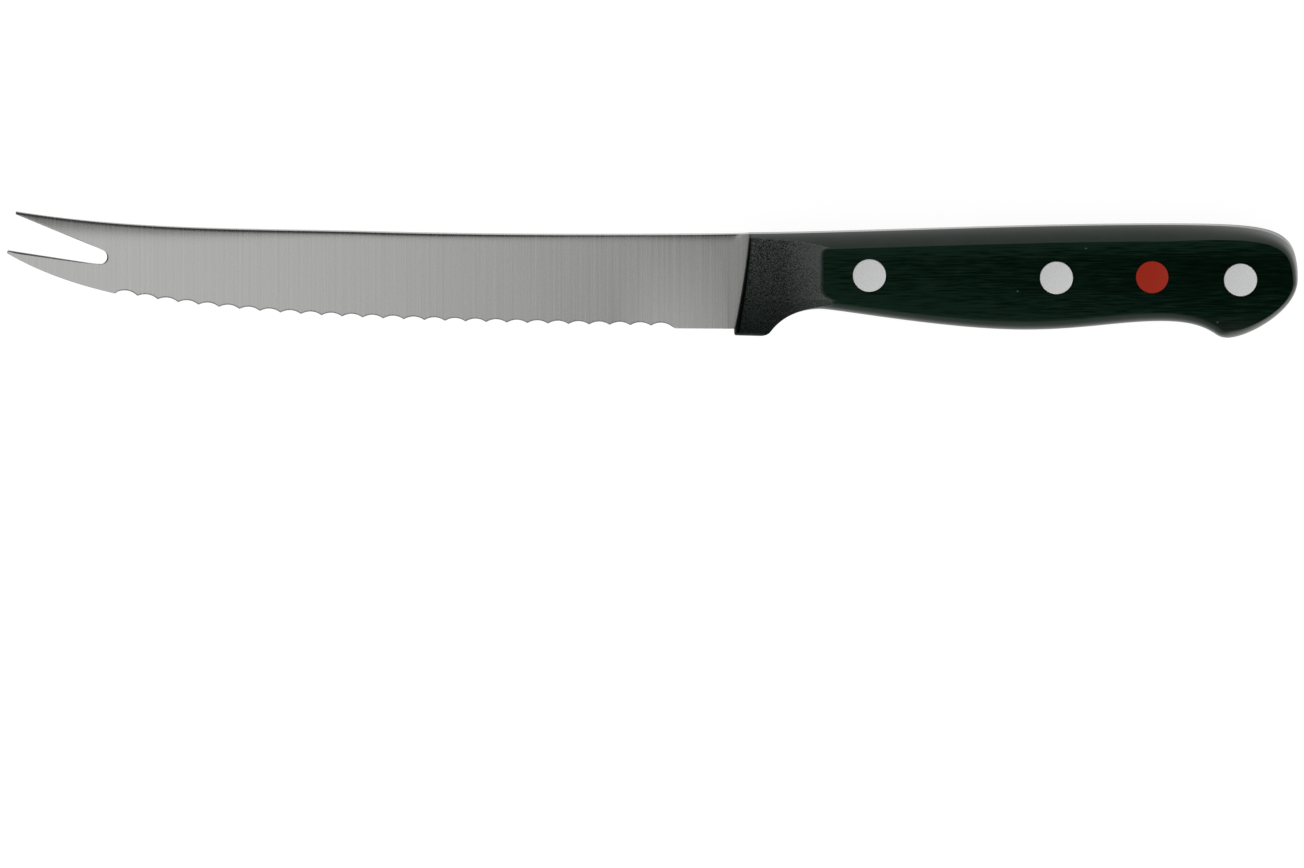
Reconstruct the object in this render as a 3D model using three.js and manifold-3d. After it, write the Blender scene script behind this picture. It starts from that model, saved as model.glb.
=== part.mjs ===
// A tomato knife: a serrated blade with a forked tip, on a full tang between two riveted scales.
// Sizes are in millimetres. The knife lies on its side, with the spine towards +y and the butt
// towards +x. The datum is on the front of the handle, half way up the blade, in the middle of
// the steel's thickness. The finished group then stands on its lower side, centred on its box.
import * as THREE from "three";
import { mergeVertices } from "three/addons/utils/BufferGeometryUtils.js";
import Module from "manifold-3d";

const wasm = await Module();
wasm.setup();

// Blade: lengths run forward from the datum, rises and drops are above and below it.
const bladeLength = 140;
const steelThickness = 1.8;
const spineRise = 8.25;
const spineMiddleRise = 8.65;
const heelDrop = 10;
const heelPlainLength = 13.5;
const edgeMiddleLength = 96;
const edgeMiddleDrop = 6.73;

// Forked tip: the lower tine reaches the full length and the upper one stops a little short.
const upperTineSetback = 1.6;
const upperTineRise = 12.2;
const lowerTineRise = 4.65;
const tineTipRadius = 0.3;
const forkDepth = 19;
const forkRootRise = 3.77;
const forkRootRadius = 1.5;

// Ground faces: half the thickness that the grinding leaves at the spine and at the edge.
const groundSpineHalf = 0.65;
const groundEdgeHalf = 0.25;
const groundTineHalf = 0.45;
const groundLead = 0.02;
const groundRunOut = 16;
const groundStart = 2;
const groundTineRun = 23;

// Serration: round flutes ground from the far side only, square to the edge and tilted to it.
const flutePitch = 3.92;
const fluteDepth = 0.67;
const cuspTrim = 0.4;
const firstFluteLength = 2.1;
const plainTineEdge = 22;
const fluteTilt = THREE.MathUtils.degToRad(20);
const fluteReach = 6;
const fluteLead = 2.5;

// Handle outline: lengths run back from the datum, and the hook is set out from the butt.
const handleLength = 105.5;
const handleTopRise = 10.06;
const frontTopRise = 8.34;
const frontTopSetback = 1.1;
const frontLean = 3.05;
const guardOverhang = 1.15;
const guardCorner = 0.75;
const guardBottomLength = 2.3;
const guardHeelLength = 5.2;
const guardHeelDrop = 10.18;
const grooveLength = 14.6;
const grooveDrop = 5.95;
const bellyShare = 0.601;
const bellyDrop = 9.98;
const waistDrop = 8.33;
const hookFlankLength = 10.5;
const hookFrontDrop = 10.93;
const hookNoseLength = 2.9;
const hookNoseDrop = 11.87;
const hookRearDrop = 11.64;
const hookSetback = 12.6;
const buttMiddleDrop = 0.4;

// Scales: half the handle's thickness, and how far the flat side stays in from the outline.
const handleHalf = 7;
const topBand = 2.15;
const buttBand = 0.9;
const hookBand = 2.4;
const bellyBand = 3;
const grooveBand = 2.6;
const guardBand = 0.35;
const frontBand = 0.4;

// Moulded front of a scale: it rises in a hollow sweep from the guard to the flat side.
const flatSetback = 15.3;
const flatMiddleRise = 1.6;
const flatHalfHeight = 5;
const flatCorner = 1.4;
const frontHalf = 3.15;
const frontStep = 0.5;
const frontRoundTop = 0.5;
const frontRoundBottom = 1.1;
const guardRound = 1;

// Rivets: each is a sleeve half pressed over a pin half, both with a flush round head.
const frontRivetLength = 24;
const frontRivetRise = 1.35;
const middleRivetShare = 0.504;
const middleRivetRise = 0.9;
const rearRivetSetback = 10.9;
const rearRivetRise = 0.5;
const headRadius = 3.15;
const headThickness = 1.6;
const sleeveRadius = 2;
const boreRadius = 1.25;
const pressClearance = 0.05;
const headClearance = 0.08;
const shankClearance = 0.15;
const endClearance = 0.4;

// Colour dot: a plain round inlay in the near scale, between the middle and the rear rivet.
const dotShare = 0.52;
const dotRise = 1.04;
const dotRadius = 3.1;
const dotThickness = 1.2;
const dotClearance = 0.05;

// Smoothness of the curves, as counts of steps.
const spineSteps = 14;
const edgeSteps = 20;
const arcSteps = 8;
const rootSteps = 14;
const longRunSteps = 18;
const shortRunSteps = 5;
const bandSteps = 6;
const groundSteps = 22;
const sweepSteps = 7;
const roundSteps = 3;
const holeSides = 36;
const fluteSides = 90;

// One overrun for every cut, so that no cutter ends on the surface that it cuts.
const overrun = 3;

const steelHalf = steelThickness / 2;
const guardDrop = heelDrop + guardOverhang;
const lastOf = (list) => list[list.length - 1];
const at = (x, y) => new THREE.Vector2(x, y);
const lerp = THREE.MathUtils.lerp;

// The point at a share of the way from one point to another, the share given for x and for y.
const between = (a, b, share) => at(lerp(a.x, b.x, share.x), lerp(a.y, b.y, share.y));

// A solid for joining and cutting, from any closed geometry.
function solidOf(geometry) {
  const bare = geometry.clone();
  bare.deleteAttribute("normal");
  bare.deleteAttribute("uv");
  const merged = mergeVertices(bare);
  return new wasm.Manifold(
    new wasm.Mesh({
      numProp: 3,
      vertProperties: merged.attributes.position.array,
      triVerts: new Uint32Array(merged.index.array),
    }),
  );
}

// The same body on the other side of the steel: its heights change sign, and its faces turn round.
function otherSide(solid) {
  const mesh = solid.getMesh();
  const isHeight = (index) => index % 3 === 2;
  return new wasm.Manifold(
    new wasm.Mesh({
      numProp: 3,
      vertProperties: mesh.vertProperties.map((value, i) => (isHeight(i) ? -value : value)),
      triVerts: mesh.triVerts.slice().reverse(),
    }),
  );
}

// A named mesh from a finished solid.
function meshOf(name, solid, material) {
  const cut = solid.getMesh();
  const geometry = new THREE.BufferGeometry();
  geometry.setAttribute("position", new THREE.BufferAttribute(cut.vertProperties, 3));
  geometry.setIndex(new THREE.BufferAttribute(cut.triVerts, 1));
  geometry.computeVertexNormals();
  const mesh = new THREE.Mesh(geometry, material);
  mesh.name = name;
  return mesh;
}

// A closed body through rings of equally many points. The rings turn anticlockwise as seen from
// the end where they finish. Each end is capped: the cap is laid out in the plane that flatten gives.
function loft(rings, flatten) {
  const count = rings[0].length;
  const positions = rings.flat().flatMap((p) => [p.x, p.y, p.z]);
  const faces = [];
  for (let r = 0; r < rings.length - 1; r += 1) {
    for (let i = 0; i < count; i += 1) {
      const a = r * count + i;
      const b = r * count + ((i + 1) % count);
      faces.push(a, b, b + count, a, b + count, a + count);
    }
  }
  const last = (rings.length - 1) * count;
  for (const [a, b, c] of THREE.ShapeUtils.triangulateShape(rings[0].map(flatten), [])) {
    faces.push(a, c, b);
  }
  for (const [a, b, c] of THREE.ShapeUtils.triangulateShape(lastOf(rings).map(flatten), [])) {
    faces.push(last + a, last + b, last + c);
  }
  const geometry = new THREE.BufferGeometry();
  geometry.setAttribute("position", new THREE.Float32BufferAttribute(positions, 3));
  geometry.setIndex(faces);
  return geometry;
}

// A round cutter or pin along z, between two heights.
function cylinderBetween(radius, centre, low, high) {
  const geometry = new THREE.CylinderGeometry(radius, radius, high - low, holeSides);
  geometry.rotateX(Math.PI / 2);
  geometry.translate(centre.x, centre.y, (low + high) / 2);
  return solidOf(geometry);
}

// The front of the scales leans forward towards the guard, a little more the lower it gets.
const frontStraightShare = 0.62;
function frontX(y) {
  const share = (frontTopRise - y) / (frontTopRise + guardDrop);
  const bow = frontStraightShare * share + (1 - frontStraightShare) * share * share;
  return frontTopSetback - frontLean * bow;
}

// One stretch of the handle's outline, with the flat side's setback and how soft its rounding is.
function run(curve, steps, bands, softs) {
  const places = [];
  for (let i = 0; i <= steps; i += 1) {
    const share = i / steps;
    places.push({
      point: curve.getPoint(share),
      band: lerp(bands[0], bands[1], share),
      soft: lerp(softs[0], softs[1], share),
    });
  }
  return places;
}

// A curve between two points, drawn towards two others on its way.
const cubic = (a, b, c, d) => new THREE.CubicBezierCurve(a, b, c, d);

// The handle's outline, anticlockwise from the bottom of its front, as stretches that join.
const frontBottom = at(frontX(guardCorner - guardDrop), guardCorner - guardDrop);
const guardFront = at(frontX(-guardDrop) + guardCorner, -guardDrop);
const guardRear = at(guardBottomLength, -guardDrop);
const guardHeel = at(guardHeelLength, -guardHeelDrop);
const grooveTop = at(grooveLength, -grooveDrop);
const hookRear = at(handleLength - hookSetback, -hookRearDrop);
const hookFront = at(hookRear.x - hookNoseLength, -hookFrontDrop);
const waistTop = at(hookFront.x - hookFlankLength, -waistDrop);
const bellyLow = at(lerp(grooveTop.x, waistTop.x, bellyShare), -bellyDrop);
const buttRear = at(handleLength, -buttMiddleDrop);
const topRear = at(waistTop.x, handleTopRise);
const frontTop = at(frontX(frontTopRise), frontTopRise);

const hookNoseShare = 0.45;
const guardHeelShare = 0.72;
const grooveShares = { low: at(0.22, 0.66), high: at(0.56, 1) };
const bellyFrontShares = { front: at(0.08, 0), rear: at(0.62, 1) };
const bellyRearShares = { front: at(0.42, 0), rear: at(0.7, 1) };
const hookShares = { front: at(0.48, 0), rear: at(0.762, 0.308) };
const buttLowShares = { front: at(0.357, 0.058), rear: at(1, 0.51) };
const buttTopShares = { rear: at(0, 0.91), front: at(0.19, 1) };
const topShares = { rear: at(0.36, 0), front: at(0.75, 0.95) };

const handleRuns = [
  run(
    new THREE.QuadraticBezierCurve(frontBottom, at(frontX(-guardDrop), -guardDrop), guardFront),
    shortRunSteps,
    [guardBand, guardBand],
    [1, 1],
  ),
  run(new THREE.LineCurve(guardFront, guardRear), 1, [guardBand, guardBand], [1, 1]),
  run(
    new THREE.QuadraticBezierCurve(
      guardRear,
      at(lerp(guardBottomLength, guardHeelLength, guardHeelShare), -guardDrop),
      guardHeel,
    ),
    shortRunSteps,
    [guardBand, guardBand],
    [1, 1],
  ),
  run(
    cubic(
      guardHeel,
      between(guardHeel, grooveTop, grooveShares.low),
      between(guardHeel, grooveTop, grooveShares.high),
      grooveTop,
    ),
    longRunSteps / 2,
    [guardBand, grooveBand],
    [1, 1],
  ),
  run(
    cubic(
      grooveTop,
      between(grooveTop, bellyLow, bellyFrontShares.front),
      between(grooveTop, bellyLow, bellyFrontShares.rear),
      bellyLow,
    ),
    longRunSteps,
    [grooveBand, bellyBand],
    [1, 1],
  ),
  run(
    cubic(
      bellyLow,
      between(bellyLow, waistTop, bellyRearShares.front),
      between(bellyLow, waistTop, bellyRearShares.rear),
      waistTop,
    ),
    longRunSteps / 2,
    [bellyBand, bellyBand],
    [1, 1],
  ),
  run(
    cubic(
      waistTop,
      between(waistTop, hookFront, hookShares.front),
      between(waistTop, hookFront, hookShares.rear),
      hookFront,
    ),
    longRunSteps / 2,
    [bellyBand, hookBand],
    [1, 0],
  ),
  run(
    new THREE.QuadraticBezierCurve(
      hookFront,
      at(lerp(hookFront.x, hookRear.x, hookNoseShare), -hookNoseDrop),
      hookRear,
    ),
    shortRunSteps,
    [hookBand, hookBand],
    [0, 0],
  ),
  run(
    cubic(
      hookRear,
      between(hookRear, buttRear, buttLowShares.front),
      between(hookRear, buttRear, buttLowShares.rear),
      buttRear,
    ),
    longRunSteps,
    [hookBand, buttBand],
    [0, 0],
  ),
  run(
    cubic(
      buttRear,
      between(buttRear, topRear, buttTopShares.rear),
      between(buttRear, topRear, buttTopShares.front),
      topRear,
    ),
    longRunSteps,
    [buttBand, topBand],
    [0, 0],
  ),
  run(
    cubic(
      topRear,
      between(topRear, frontTop, topShares.rear),
      between(topRear, frontTop, topShares.front),
      frontTop,
    ),
    longRunSteps,
    [topBand, topBand],
    [0, 0],
  ),
];
const frontRun = [];
for (let i = 0; i <= shortRunSteps; i += 1) {
  const share = i / shortRunSteps;
  const y = lerp(frontTop.y, frontBottom.y, share);
  frontRun.push({ point: at(frontX(y), y), band: lerp(frontBand, guardBand, share), soft: 0 });
}

// The flat side's setback at each corner point, as a pair of sides to move: the one before the
// point and the one after it. The point moves to where the two moved sides meet.
function cornersOf(runs) {
  const corners = [];
  runs.forEach((places, r) => {
    const before = lastOf(runs[(r + runs.length - 1) % runs.length]);
    places.slice(0, -1).forEach((place, i) => {
      corners.push({ point: place.point, before: i === 0 ? before : place, after: place });
    });
  });
  return corners.map((corner, i) => {
    const previous = corners[(i + corners.length - 1) % corners.length].point;
    const next = corners[(i + 1) % corners.length].point;
    const sideIn = corner.point.clone().sub(previous).normalize();
    const sideOut = next.clone().sub(corner.point).normalize();
    return { ...corner, inwardIn: at(-sideIn.y, sideIn.x), inwardOut: at(-sideOut.y, sideOut.x) };
  });
}

// How much of its setback a side has at a share of the height: a crown that meets the flat side
// in a crisp line where soft is 0, and a quarter of an ellipse that runs into it where soft is 1.
function bandShare(height, soft) {
  const crown = height * height;
  const round = 1 - Math.sqrt(Math.max(1 - height * height, 0));
  return lerp(crown, round, soft);
}

const nearlyStraight = 0.12;
function movedIn(corner, height) {
  const stepIn = corner.before.band * bandShare(height, corner.before.soft);
  const stepOut = corner.after.band * bandShare(height, corner.after.soft);
  const turn = corner.inwardIn.cross(corner.inwardOut);
  if (Math.abs(turn) < nearlyStraight) {
    const inward = corner.inwardIn.clone().add(corner.inwardOut).normalize();
    return corner.point.clone().addScaledVector(inward, (stepIn + stepOut) / 2);
  }
  return at(
    corner.point.x + (stepIn * corner.inwardOut.y - stepOut * corner.inwardIn.y) / turn,
    corner.point.y + (stepOut * corner.inwardIn.x - stepIn * corner.inwardOut.x) / turn,
  );
}

const handleCorners = cornersOf([...handleRuns, frontRun]);

// A scale before its front is shaped and its holes are made, on the near side of the tang.
function scaleBlank() {
  const rings = [];
  for (let i = 0; i <= bandSteps; i += 1) {
    const height = Math.sin((Math.PI / 2) * (i / bandSteps));
    const z = lerp(steelHalf, handleHalf, height);
    const ring = handleCorners.map((corner) => movedIn(corner, height));
    rings.push(ring.map((p) => new THREE.Vector3(p.x, p.y, z)));
  }
  return solidOf(loft(rings, (p) => at(p.x, p.y)));
}

// The block that the moulded front is kept inside. Along x its top follows the rounded front edge
// and then the hollow sweep up to the flat side. Across y the flat side's front corners are round.
const sweepBendShares = at(0.55, 0.26);
const stationShares = [1, 0.97, 0.9, 0.75, 0.5, 0.2, -0.2, -0.5, -0.75, -0.9, -0.97, -1];
function mouldingBlock() {
  const low = -guardDrop - overrun;
  const flatStations = stationShares.map((share) => flatMiddleRise - flatHalfHeight * share);
  const guardStations = [];
  for (let i = 0; i <= roundSteps; i += 1) {
    const angle = (Math.PI / 2) * (i / roundSteps);
    guardStations.push({ y: guardRound * (1 - Math.cos(angle)) - guardDrop, share: Math.sin(angle) });
  }
  const stations = [
    { y: low, share: 0 },
    ...guardStations,
    ...flatStations.map((y) => ({ y, share: 1 })),
    { y: handleTopRise + overrun, share: 1 },
  ];
  const rings = stations.map(({ y, share }) => {
    const clamped = THREE.MathUtils.clamp(y, -guardDrop, frontTopRise);
    const front = frontX(clamped);
    const across = Math.min(Math.abs(y - flatMiddleRise), flatHalfHeight);
    const inCorner = Math.max(across - flatHalfHeight + flatCorner, 0);
    const cornerRise = Math.sqrt(Math.max(flatCorner * flatCorner - inCorner * inCorner, 0));
    const cornerSetback = flatCorner - cornerRise;
    const heightShare = (frontTopRise - clamped) / (frontTopRise + guardDrop);
    const round = lerp(frontRoundTop, frontRoundBottom, heightShare);
    const base = steelHalf + frontStep;
    const top = lerp(base, frontHalf, share);
    const flatStart = flatSetback + cornerSetback;
    const profile = [at(front - overrun, base), at(front, base)];
    for (let i = 1; i <= roundSteps; i += 1) {
      const angle = (Math.PI / 2) * (i / roundSteps);
      profile.push(at(front + round * (1 - Math.cos(angle)), lerp(base, top, Math.sin(angle))));
    }
    const sweep = new THREE.QuadraticBezierCurve(
      lastOf(profile),
      between(lastOf(profile), at(flatStart, handleHalf), sweepBendShares),
      at(flatStart, handleHalf),
    );
    for (let i = 1; i <= sweepSteps; i += 1) {
      profile.push(sweep.getPoint(i / sweepSteps));
    }
    const rise = sweep.getTangent(1);
    profile.push(at(flatStart + (overrun * rise.x) / rise.y, handleHalf + overrun));
    profile.push(at(handleLength + overrun, handleHalf + overrun));
    profile.push(at(handleLength + overrun, 0));
    profile.push(at(front - overrun, 0));
    return profile.map((p) => new THREE.Vector3(p.x, y, p.y));
  });
  return solidOf(loft(rings, (p) => at(p.z, p.x)));
}

// A scale is moulded plastic. Each rivet passes through a hole with a flat-bottomed seat for its head.
const frontRivet = at(frontRivetLength, frontRivetRise);
const rearRivet = at(handleLength - rearRivetSetback, rearRivetRise);
const middleRivet = at(lerp(frontRivet.x, rearRivet.x, middleRivetShare), middleRivetRise);
const rivetCentres = { front: frontRivet, middle: middleRivet, rear: rearRivet };
function shapedScale() {
  let scale = scaleBlank().intersect(mouldingBlock());
  for (const centre of Object.values(rivetCentres)) {
    scale = scale.subtract(
      cylinderBetween(sleeveRadius + shankClearance, centre, 0, handleHalf + overrun),
    );
    scale = scale.subtract(
      cylinderBetween(
        headRadius + headClearance,
        centre,
        handleHalf - headThickness,
        handleHalf + overrun,
      ),
    );
  }
  return scale;
}

// The blade's spine from the handle to the tip, in a rear half and a front half.
const spineRearShares = { rear: at(0.143, 0.983), front: at(0.32, 0.964) };
const spineMiddleShare = 0.5;
const spineFrontShares = { rear: at(0.35, 0.17), front: at(0.66, 0.04) };
const upperTip = at(upperTineSetback + tineTipRadius - bladeLength, upperTineRise);
const lowerTip = at(tineTipRadius - bladeLength, lowerTineRise);
const spineMiddle = at(-bladeLength * spineMiddleShare, spineMiddleRise);
const spineRear = cubic(
  at(0, spineRise),
  at(-bladeLength * spineRearShares.rear.x, spineRise * spineRearShares.rear.y),
  at(-bladeLength * spineRearShares.front.x, spineRise * spineRearShares.front.y),
  spineMiddle,
);
const spineTip = at(upperTip.x, upperTip.y + tineTipRadius);
const spineFront = cubic(
  spineMiddle,
  between(spineMiddle, spineTip, spineFrontShares.rear),
  between(spineMiddle, spineTip, spineFrontShares.front),
  spineTip,
);

// The edge before it is fluted, from the plain heel to the underside of the lower tine.
const edgeRearShares = { rear: at(0.321, 0.107), front: at(0.758, 0.358) };
const edgeFrontShares = { rear: at(0.27, 0.108), front: at(0.677, 0.238) };
const edgeStart = at(-heelPlainLength, -heelDrop);
const edgeMiddle = at(-edgeMiddleLength, -edgeMiddleDrop);
const edgeBend = between(edgeMiddle, lowerTip, edgeFrontShares.front);
const tineSide = lowerTip.clone().sub(edgeBend).normalize();
const edgeTip = at(
  lowerTip.x - tineTipRadius * tineSide.y,
  lowerTip.y + tineTipRadius * tineSide.x,
);
const edge = new THREE.CurvePath();
edge.add(
  cubic(
    edgeStart,
    between(edgeStart, edgeMiddle, edgeRearShares.rear),
    between(edgeStart, edgeMiddle, edgeRearShares.front),
    edgeMiddle,
  ),
);
edge.add(
  cubic(edgeMiddle, between(edgeMiddle, lowerTip, edgeFrontShares.rear), edgeBend, edgeTip),
);

// Points on an arc about a centre, from one angle to another, both included.
function arcPoints(centre, radius, from, to, steps) {
  const points = [];
  for (let i = 0; i <= steps; i += 1) {
    const angle = lerp(from, to, i / steps);
    points.push(at(centre.x + radius * Math.cos(angle), centre.y + radius * Math.sin(angle)));
  }
  return points;
}

// The inner side of a tine touches the fork's round root on one side and the tine's round tip on
// the other. This is the angle, seen from the root's centre, at which it leaves the root.
const forkRoot = at(forkDepth - forkRootRadius - bladeLength, forkRootRise);
function tineAngle(tip, side) {
  const reach = tip.clone().sub(forkRoot);
  const spread = Math.asin((forkRootRadius + tineTipRadius) / reach.length());
  return reach.angle() - side * (Math.PI / 2 - spread);
}

// The whole steel outline, anticlockwise from the lower tine's tip. The tang follows the scales.
function steelOutline() {
  const upperAngle = tineAngle(upperTip, 1);
  const lowerAngle = tineAngle(lowerTip, -1);
  const spineTangent = spineFront.getTangent(1);
  const edgeTangent = edge.getTangent(1);
  const spineAngle = at(spineTangent.y, -spineTangent.x).angle();
  const edgeAngle = at(-edgeTangent.y, edgeTangent.x).angle();
  const tang = handleRuns.flatMap((places) => places.slice(0, -1)).map((place) => place.point);
  return [
    ...edge.getPoints(edgeSteps).reverse(),
    at(frontX(-heelDrop), -heelDrop),
    ...tang,
    frontTop,
    ...spineRear.getPoints(spineSteps).slice(0, -1),
    ...spineFront.getPoints(spineSteps),
    ...arcPoints(upperTip, tineTipRadius, spineAngle, upperAngle + Math.PI, arcSteps).slice(1),
    ...arcPoints(forkRoot, forkRootRadius, upperAngle, lowerAngle - 2 * Math.PI, rootSteps),
    ...arcPoints(lowerTip, tineTipRadius, lowerAngle - Math.PI, edgeAngle, arcSteps).slice(0, -1),
  ];
}

// The height of a line of points at a given x, by straight lines between the points.
function heightAt(points, x) {
  const sorted = [...points].sort((a, b) => a.x - b.x);
  const next = sorted.findIndex((p) => p.x > x);
  if (next <= 0) {
    return next === 0 ? sorted[0].y : lastOf(sorted).y;
  }
  const a = sorted[next - 1];
  const b = sorted[next];
  return lerp(a.y, b.y, (x - a.x) / (b.x - a.x));
}

const spineLine = [...spineRear.getPoints(spineSteps), ...spineFront.getPoints(spineSteps)];
const edgeLine = [...edge.getPoints(edgeSteps), at(0, -heelDrop)];

// Half the blade's thickness on the spine and on the edge line, at a distance ahead of the handle.
function groundAt(ahead) {
  const { smoothstep } = THREE.MathUtils;
  const rough = steelHalf + groundLead;
  const spine = lerp(rough, groundSpineHalf, ahead / bladeLength);
  const edgeHalf = lerp(rough, groundEdgeHalf, smoothstep(ahead, groundStart, groundRunOut));
  const tine = smoothstep(ahead, bladeLength - groundTineRun, bladeLength);
  return { spine, edge: edgeHalf + (groundTineHalf - groundEdgeHalf) * tine };
}

// What the grinding takes off the near side: a ruled face from the spine down to the edge.
function grindingBlock() {
  const rings = [];
  for (let i = 0; i <= groundSteps; i += 1) {
    const ahead = lerp(bladeLength + overrun, groundStart, i / groundSteps);
    const inside = Math.min(ahead, bladeLength - tineTipRadius);
    const { spine, edge: edgeHalf } = groundAt(inside);
    const high = heightAt(spineLine, -inside);
    const low = heightAt(edgeLine, -inside);
    const slope = (spine - edgeHalf) / (high - low);
    const section = [
      at(low - overrun, edgeHalf - overrun * slope),
      at(high + overrun, spine + overrun * slope),
      at(high + overrun, steelHalf + overrun),
      at(low - overrun, steelHalf + overrun),
    ];
    rings.push(section.map((p) => new THREE.Vector3(-ahead, p.x, p.y)));
  }
  return solidOf(loft(rings, (p) => at(p.y, p.z)));
}

// The flutes along the edge. Each is a round grinding cut, square to the edge, whose floor meets
// the near face at the crown of its scallop and climbs towards the far face.
function fluteCuts() {
  const edgeLength = edge.getLength();
  const fluted = edgeLength - plainTineEdge - firstFluteLength;
  const count = Math.floor(fluted / flutePitch) + 1;
  const sag = fluteDepth * Math.sin(fluteTilt);
  const radius = ((flutePitch / 2) ** 2 + sag * sag) / (2 * sag);
  let cuts = null;
  for (let i = 0; i < count; i += 1) {
    const share = (firstFluteLength + i * flutePitch) / edgeLength;
    const foot = edge.getPoint(share);
    const along = edge.getTangent(share);
    const inward = at(along.y, -along.x);
    const crown = foot.clone().addScaledVector(inward, fluteDepth + cuspTrim);
    const { edge: edgeHalf, spine } = groundAt(-foot.x);
    const high = heightAt(spineLine, foot.x);
    const nearFace = lerp(edgeHalf, spine, (fluteDepth + cuspTrim) / (high - foot.y));
    const axis = new THREE.Vector3(
      inward.x * Math.cos(fluteTilt),
      inward.y * Math.cos(fluteTilt),
      -Math.sin(fluteTilt),
    );
    const away = new THREE.Vector3(
      -inward.x * Math.sin(fluteTilt),
      -inward.y * Math.sin(fluteTilt),
      -Math.cos(fluteTilt),
    );
    const side = new THREE.Vector3().crossVectors(axis, away);
    const wheel = new THREE.CylinderGeometry(radius, radius, fluteReach + fluteLead, fluteSides);
    wheel.translate(0, (fluteReach - fluteLead) / 2, 0);
    wheel.applyMatrix4(new THREE.Matrix4().makeBasis(away, axis, side.negate()));
    const centre = new THREE.Vector3(crown.x, crown.y, nearFace).addScaledVector(away, radius);
    wheel.translate(centre.x, centre.y, centre.z);
    const cut = solidOf(wheel);
    cuts = cuts ? cuts.add(cut) : cut;
  }
  return cuts;
}

// The blade and its full tang are one piece of steel: cut out flat, drilled, ground and fluted.
function bladeSolid() {
  const shape = new THREE.Shape(steelOutline());
  const sheet = new THREE.ExtrudeGeometry(shape, { depth: steelThickness, bevelEnabled: false });
  sheet.translate(0, 0, -steelHalf);
  let blade = solidOf(sheet);
  for (const centre of Object.values(rivetCentres)) {
    blade = blade.subtract(
      cylinderBetween(sleeveRadius + shankClearance, centre, -overrun, overrun),
    );
  }
  const near = grindingBlock();
  blade = blade.subtract(near).subtract(otherSide(near));
  return blade.subtract(fluteCuts());
}

// A rivet half turned on the lathe, its axis along z and its head's flat face at the handle's side.
function rivetHalf(profile) {
  const geometry = new THREE.LatheGeometry(profile, holeSides);
  geometry.rotateX(Math.PI / 2);
  return solidOf(geometry);
}
const headSeat = handleHalf - headThickness;
const sleeveEnd = endClearance - headSeat;
const boreEnd = headSeat - endClearance;
const pinRadius = boreRadius - pressClearance;
function sleeveSolid() {
  return rivetHalf([
    at(0, boreEnd),
    at(boreRadius, boreEnd),
    at(boreRadius, sleeveEnd),
    at(sleeveRadius, sleeveEnd),
    at(sleeveRadius, headSeat),
    at(headRadius, headSeat),
    at(headRadius, handleHalf),
    at(0, handleHalf),
  ]);
}
function pinSolid() {
  return rivetHalf([
    at(0, -handleHalf),
    at(headRadius, -handleHalf),
    at(headRadius, -headSeat),
    at(pinRadius, -headSeat),
    at(pinRadius, boreEnd - endClearance),
    at(0, boreEnd - endClearance),
  ]);
}

const steel = new THREE.MeshStandardMaterial({ color: 0xa3a3a1, roughness: 0.38, metalness: 1 });
const plastic = new THREE.MeshStandardMaterial({ color: 0x14201c, roughness: 0.45, metalness: 0 });
const rivetMetal = new THREE.MeshStandardMaterial({ color: 0xbfc1c0, roughness: 0.35, metalness: 1 });
const dotPlastic = new THREE.MeshStandardMaterial({ color: 0xc92b17, roughness: 0.4, metalness: 0 });

const knife = new THREE.Group();
knife.add(meshOf("blade_with_tang", bladeSolid(), steel.clone()));

const scale = shapedScale();
const dotCentre = at(lerp(middleRivet.x, rearRivet.x, dotShare), dotRise);
const dotPocket = cylinderBetween(
  dotRadius + dotClearance,
  dotCentre,
  handleHalf - dotThickness,
  handleHalf + overrun,
);
knife.add(meshOf("near_scale", scale.subtract(dotPocket), plastic.clone()));
knife.add(meshOf("far_scale", otherSide(scale), plastic.clone()));

const dot = cylinderBetween(dotRadius, dotCentre, handleHalf - dotThickness, handleHalf);
knife.add(meshOf("colour_dot", dot, dotPlastic));

for (const [place, centre] of Object.entries(rivetCentres)) {
  const sleeve = meshOf(place + "_rivet_sleeve", sleeveSolid(), rivetMetal.clone());
  const pin = meshOf(place + "_rivet_pin", pinSolid(), rivetMetal.clone());
  sleeve.position.set(centre.x, centre.y, 0);
  pin.position.set(centre.x, centre.y, 0);
  knife.add(sleeve, pin);
}

// The group stands on the plane z = 0 with the middle of its box over the origin.
const box = new THREE.Box3().setFromObject(knife);
const middle = box.getCenter(new THREE.Vector3());
knife.position.set(-middle.x, -middle.y, -box.min.z);

export default knife;
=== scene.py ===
import math

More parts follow.
